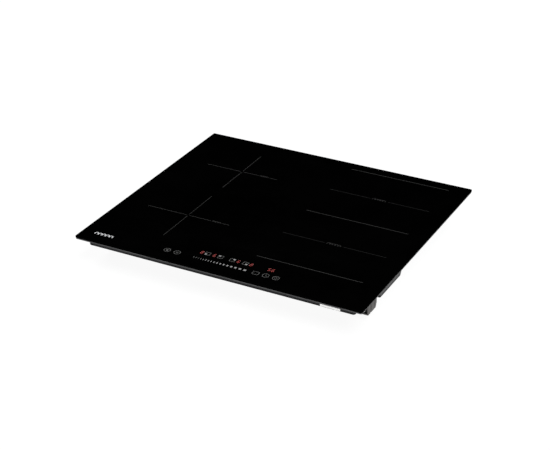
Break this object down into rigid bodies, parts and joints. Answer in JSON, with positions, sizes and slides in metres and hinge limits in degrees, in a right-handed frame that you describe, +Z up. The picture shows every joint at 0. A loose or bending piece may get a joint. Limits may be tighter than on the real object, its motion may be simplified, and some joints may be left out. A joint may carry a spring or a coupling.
{
  "type": "induction hob",
  "caption": "Built-in induction hob: black glass top bonded to a shallow tray, deeper electronics pan below, swing-out clamps and a rear cable inlet.",
  "frame": {"origin": "centre of the glass plate's outline in plan, at the height of the lower pan's underside", "axes": "+X to the user's right, +Y to the back, +Z up through the glass"},
  "size_m": [0.59, 0.52, 0.052],
  "materials": {
    "black_glass": "polished",
    "seal_foam": "matt foam",
    "silicone_bead": "matt",
    "frame_black": "fine textured satin",
    "label_white": "matt",
    "pan_galvanised": "galvanised",
    "zinc_screw": "zinc plated",
    "clamp_plastic": "moulded matt",
    "outlet_plastic": "moulded matt",
    "gland_plastic": "moulded matt",
    "white_nylon": "moulded",
    "terminal_plastic": "moulded",
    "brass_part": "turned",
    "board_green": "solder mask",
    "alloy": "mill finish",
    "device_black": "moulded",
    "film_yellow": "moulded",
    "copper_litz": "varnished strands",
    "ferrite": "sintered",
    "mica": "pressed sheet",
    "coil_plastic": "moulded",
    "silicone_grey": "soft",
    "light_guide": "clear moulded",
    "display_black": "tinted",
    "cable_grey": "flat cable",
    "lead_white": "silicone sleeve",
    "lead_brown": "insulated",
    "fan_black": "moulded",
    "relay_blue": "moulded",
    "transformer_tape": "taped",
    "sheet_clear": "polyester film",
    "print_light": "fired enamel",
    "print_grey": "fired enamel",
    "led_red": "lit through the glass"
  },
  "bodies": {
    "hob": {"adhesive_bead": "silicone_bead", "blank_label": "label_white", "board_standoffs": "white_nylon", "cable_gland": "gland_plastic", "cable_saddle": "white_nylon", "case_screws": "zinc_screw", "chokes": "copper_litz", "clamp_nuts": "zinc_screw", "coil_leads": "lead_white", "coil_plate": "alloy", "control_board": "board_green", "control_carrier": "coil_plastic", "control_ribbon": "cable_grey", "digit_displays": "display_black", "fan_housing_left": "fan_black", "fan_housing_right": "fan_black", "fan_stator_left": "copper_litz", "fan_stator_right": "copper_litz", "ferrite_bars": "ferrite", "film_capacitors": "film_yellow", "filter_board": "board_green", "former_front_left": "coil_plastic", "former_front_right": "coil_plastic", "former_rear_left": "coil_plastic", "former_rear_right": "coil_plastic", "glass_plate": "black_glass", "glass_seal": "seal_foam", "heat_sink_left": "alloy", "heat_sink_right": "alloy", "inner_screws": "zinc_screw", "insulation_sheet": "sheet_clear", "inverter_board_left": "board_green", "inverter_board_right": "board_green", "lower_pan": "pan_galvanised", "mains_leads": "lead_brown", "mains_relay": "relay_blue", "mica_sheets": "mica", "plate_cushions": "silicone_grey", "power_devices": "device_black", "rear_spacer_left": "gland_plastic", "rear_spacer_right": "gland_plastic", "side_outlet_left": "outlet_plastic", "side_outlet_right": "outlet_plastic", "slider_light_guide": "light_guide", "supply_transformer": "transformer_tape", "temperature_sensors": "alloy", "terminal_block": "terminal_plastic", "terminal_screws": "brass_part", "touch_pads": "silicone_grey", "upper_frame": "frame_black", "winding_front_left": "copper_litz", "winding_front_right": "copper_litz", "winding_rear_left": "copper_litz", "winding_rear_right": "copper_litz"},
    "fan_right": {"fan_rotor_right": "fan_black"},
    "fan_left": {"fan_rotor_left": "fan_black"},
    "clamp_lift_right": {"clamp_screw_right": "zinc_screw"},
    "clamp_lift_left": {"clamp_screw_left": "zinc_screw"},
    "clamp_arm_right": {"clamp_right": "clamp_plastic"},
    "clamp_arm_left": {"clamp_left": "clamp_plastic"}
  },
  "joints": [
    {"name": "fan_spin_right", "type": "hinge", "parent": "hob", "child": "fan_right", "pos_m": [0.12, 0.17, 0.012], "axis": [0, 0, 1], "continuous": true},
    {"name": "clamp_lower_right", "type": "slide", "parent": "hob", "child": "clamp_lift_right", "axis": [0, 0, -1], "range_m": [0, 0.012]},
    {"name": "clamp_swing_right", "type": "hinge", "parent": "clamp_lift_right", "child": "clamp_arm_right", "pos_m": [0.263, -0.181, 0.015], "axis": [0, 0, -1], "range_deg": [0, 90]},
    {"name": "fan_spin_left", "type": "hinge", "parent": "hob", "child": "fan_left", "pos_m": [-0.12, 0.17, 0.012], "axis": [0, 0, 1], "continuous": true},
    {"name": "clamp_lower_left", "type": "slide", "parent": "hob", "child": "clamp_lift_left", "axis": [0, 0, -1], "range_m": [0, 0.012]},
    {"name": "clamp_swing_left", "type": "hinge", "parent": "clamp_lift_left", "child": "clamp_arm_left", "pos_m": [-0.263, -0.181, 0.015], "axis": [0, 0, 1], "range_deg": [0, 90]}
  ]
}
